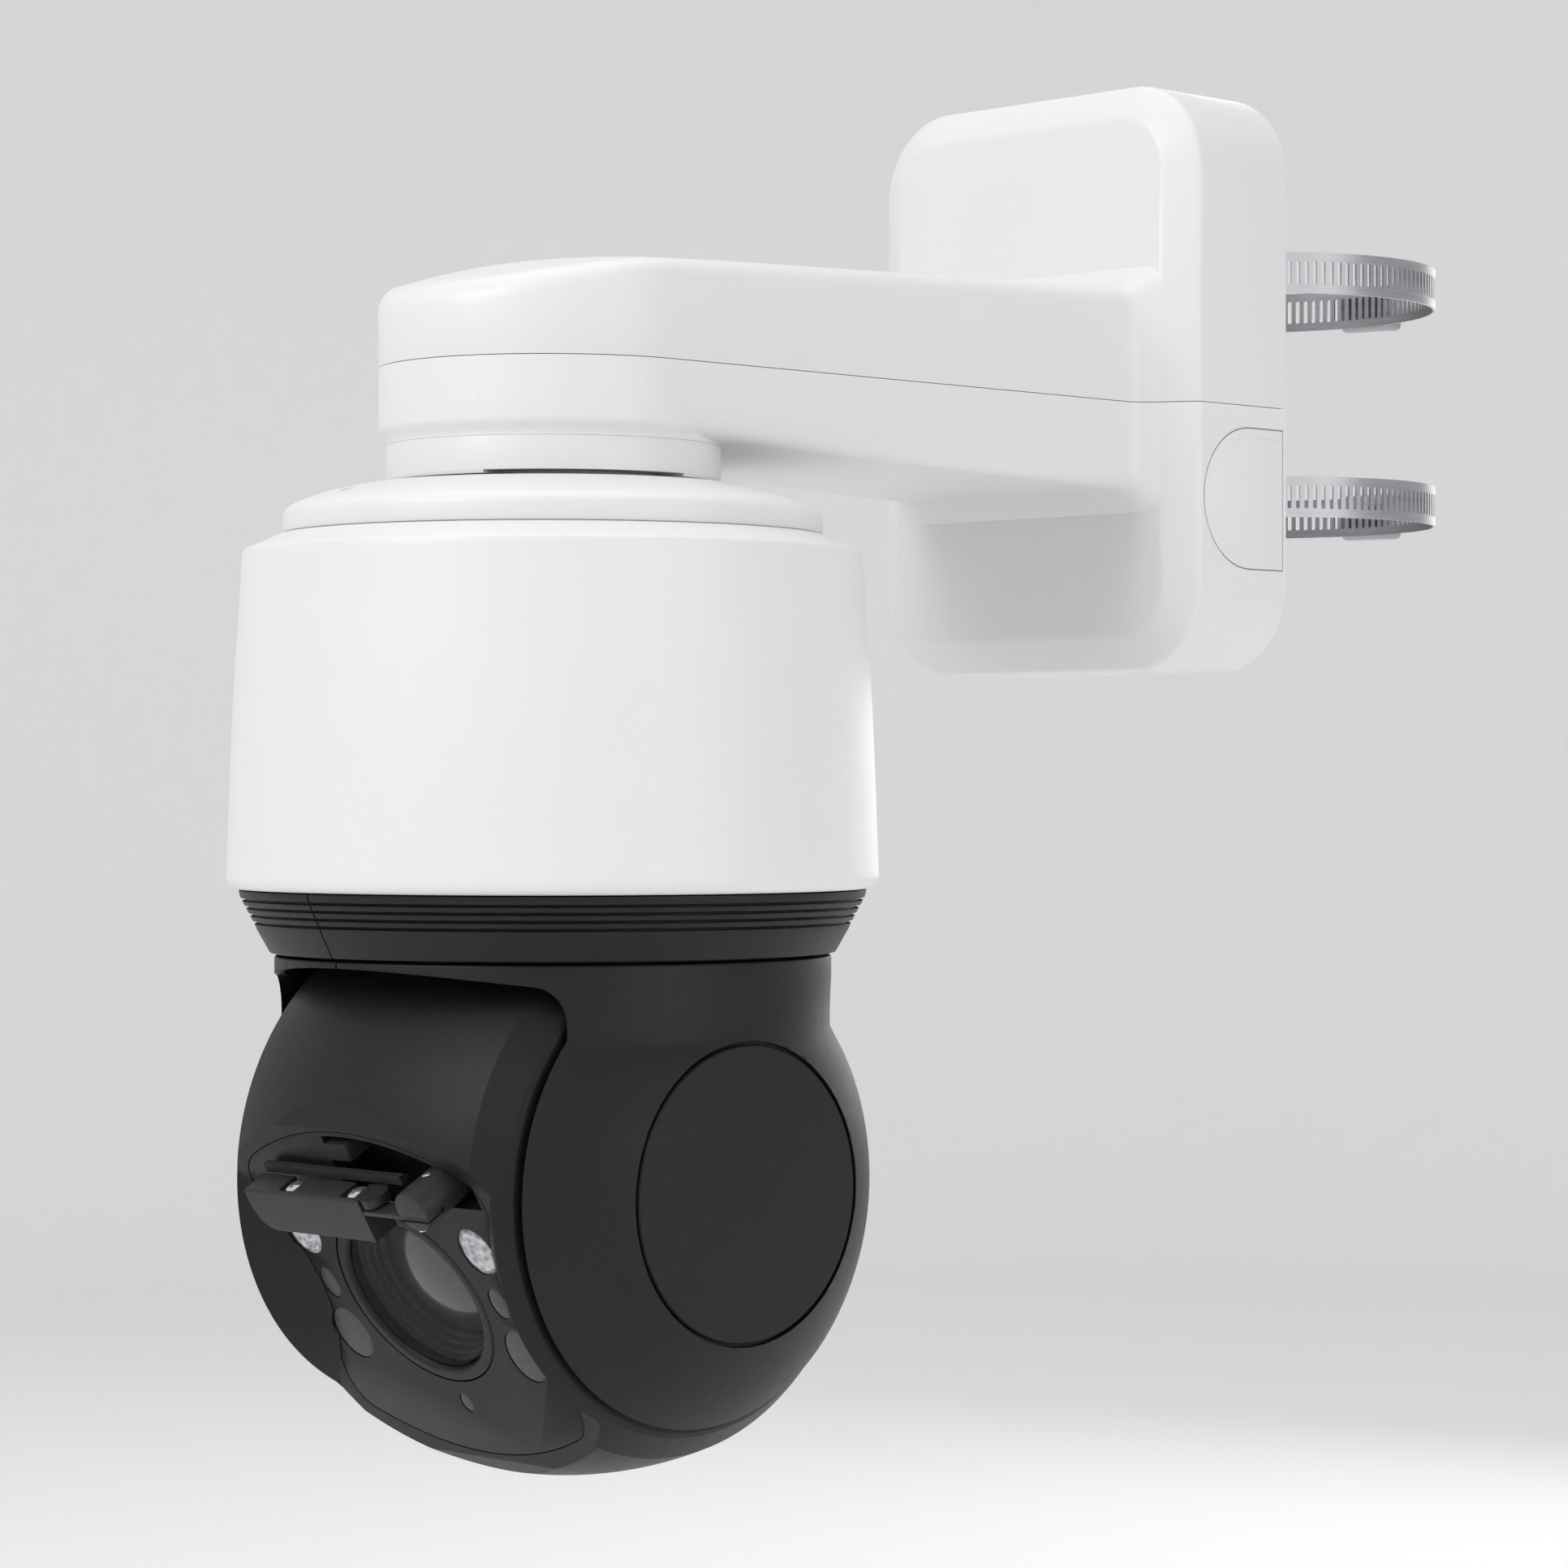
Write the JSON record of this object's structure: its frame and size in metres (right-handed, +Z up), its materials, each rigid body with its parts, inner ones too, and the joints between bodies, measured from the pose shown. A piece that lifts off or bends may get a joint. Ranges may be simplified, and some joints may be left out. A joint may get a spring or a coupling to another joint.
{
  "type": "ptz camera",
  "caption": "Outdoor pan-tilt-zoom surveillance camera hanging from an arm bracket with a wall box, strapped to a pole, with infrared lights and a window wiper.",
  "frame": {"origin": "on the wall box's back face where it meets the pole, midway between its sides and 1.9 mm below its middle", "axes": "+Y into the pole, +X to the box's right seen from the front of the camera, +Z up; the arm reaches along -Y and the camera hangs down along -Z"},
  "size_m": [0.2008, 0.5154, 0.4473],
  "materials": {
    "white_paint": "satin",
    "aluminium": "satin",
    "steel": "satin",
    "charcoal_plastic": "matte",
    "black_plastic": "satin",
    "rubber": "matte",
    "face_glass": "gloss",
    "clear_lens": "gloss",
    "nylon": "satin",
    "circuit_board": "satin"
  },
  "bodies": {
    "root": {"bracket_cover": "white_paint", "bracket_body": "white_paint", "cable_entry_cover_right": "white_paint", "cable_entry_cover_left": "white_paint", "bracket_seal": "rubber", "back_plate": "aluminium", "band_upper": "steel", "band_lower": "steel", "band_screw_upper": "steel", "band_screw_lower": "steel", "feed_lead": "rubber", "mount_collar": "white_paint", "dome_cap": "white_paint", "sunshield": "white_paint", "base_can": "aluminium", "base_plate": "aluminium", "rain_skirt_right": "charcoal_plastic", "rain_skirt_left": "charcoal_plastic", "main_board": "circuit_board", "pan_motor": "black_plastic", "pan_bearing_outer": "steel"},
    "pan_drive_pinion": {"pan_pinion": "nylon"},
    "yoke": {"pan_gear": "nylon", "pan_hub": "aluminium", "pan_bearing_inner": "steel", "slip_ring": "steel", "yoke_right": "charcoal_plastic", "yoke_left": "charcoal_plastic", "side_cap_right": "charcoal_plastic", "side_cap_left": "charcoal_plastic", "tilt_bearing_right": "steel", "tilt_bearing_left": "steel", "tilt_motor": "black_plastic"},
    "tilt_drive_pinion": {"tilt_pinion": "nylon"},
    "camera_module": {"module_front_shell": "charcoal_plastic", "module_rear_shell": "charcoal_plastic", "face_plate": "face_glass", "light_top_right": "clear_lens", "light_middle_right": "clear_lens", "light_large_right": "clear_lens", "light_top_left": "clear_lens", "light_middle_left": "clear_lens", "light_large_left": "clear_lens", "light_board": "circuit_board", "light_sensor": "clear_lens", "window_bezel": "black_plastic", "window_glass": "clear_lens", "lens_barrel": "black_plastic", "lens_front_element": "clear_lens", "image_sensor_board": "circuit_board", "tilt_hub_right": "steel", "tilt_hub_left": "steel", "tilt_wheel": "nylon", "wiper_motor": "black_plastic", "wiper_park_stop": "rubber"},
    "zoom_cell": {"zoom_group": "clear_lens"},
    "wiper": {"wiper_hub": "charcoal_plastic", "wiper_arm": "steel", "blade_holder": "charcoal_plastic", "wiper_blade": "rubber"}
  },
  "joints": [
    {"name": "pan_turn", "type": "hinge", "parent": "root", "child": "yoke", "pos_m": [0, -0.2685, -0.16], "axis": [0, 0, 1], "continuous": true},
    {"name": "pan_pinion_spin", "type": "hinge", "parent": "root", "child": "pan_drive_pinion", "pos_m": [0.0675, -0.2685, -0.152], "axis": [0, 0, 1], "continuous": true},
    {"name": "tilt_nod", "type": "hinge", "parent": "yoke", "child": "camera_module", "pos_m": [0, -0.2685, -0.256], "axis": [1, 0, 0], "range_deg": [-35.6, 59.4]},
    {"name": "tilt_pinion_spin", "type": "hinge", "parent": "yoke", "child": "tilt_drive_pinion", "pos_m": [0.081, -0.2685, -0.226], "axis": [1, 0, 0], "range_deg": [-240, 145]},
    {"name": "zoom_slide", "type": "slide", "parent": "camera_module", "child": "zoom_cell", "axis": [0, -0.8607, -0.509], "range_m": [-0.016, 0.022]},
    {"name": "wiper_swing", "type": "hinge", "parent": "camera_module", "child": "wiper", "pos_m": [0.0385, -0.35915, -0.25988], "axis": [0, -0.8607, -0.509], "range_deg": [0, 65]}
  ],
  "couplings": [
    {"joint": "pan_pinion_spin", "follows": "pan_turn", "ratio": -4},
    {"joint": "tilt_pinion_spin", "follows": "tilt_nod", "ratio": -4}
  ]
}
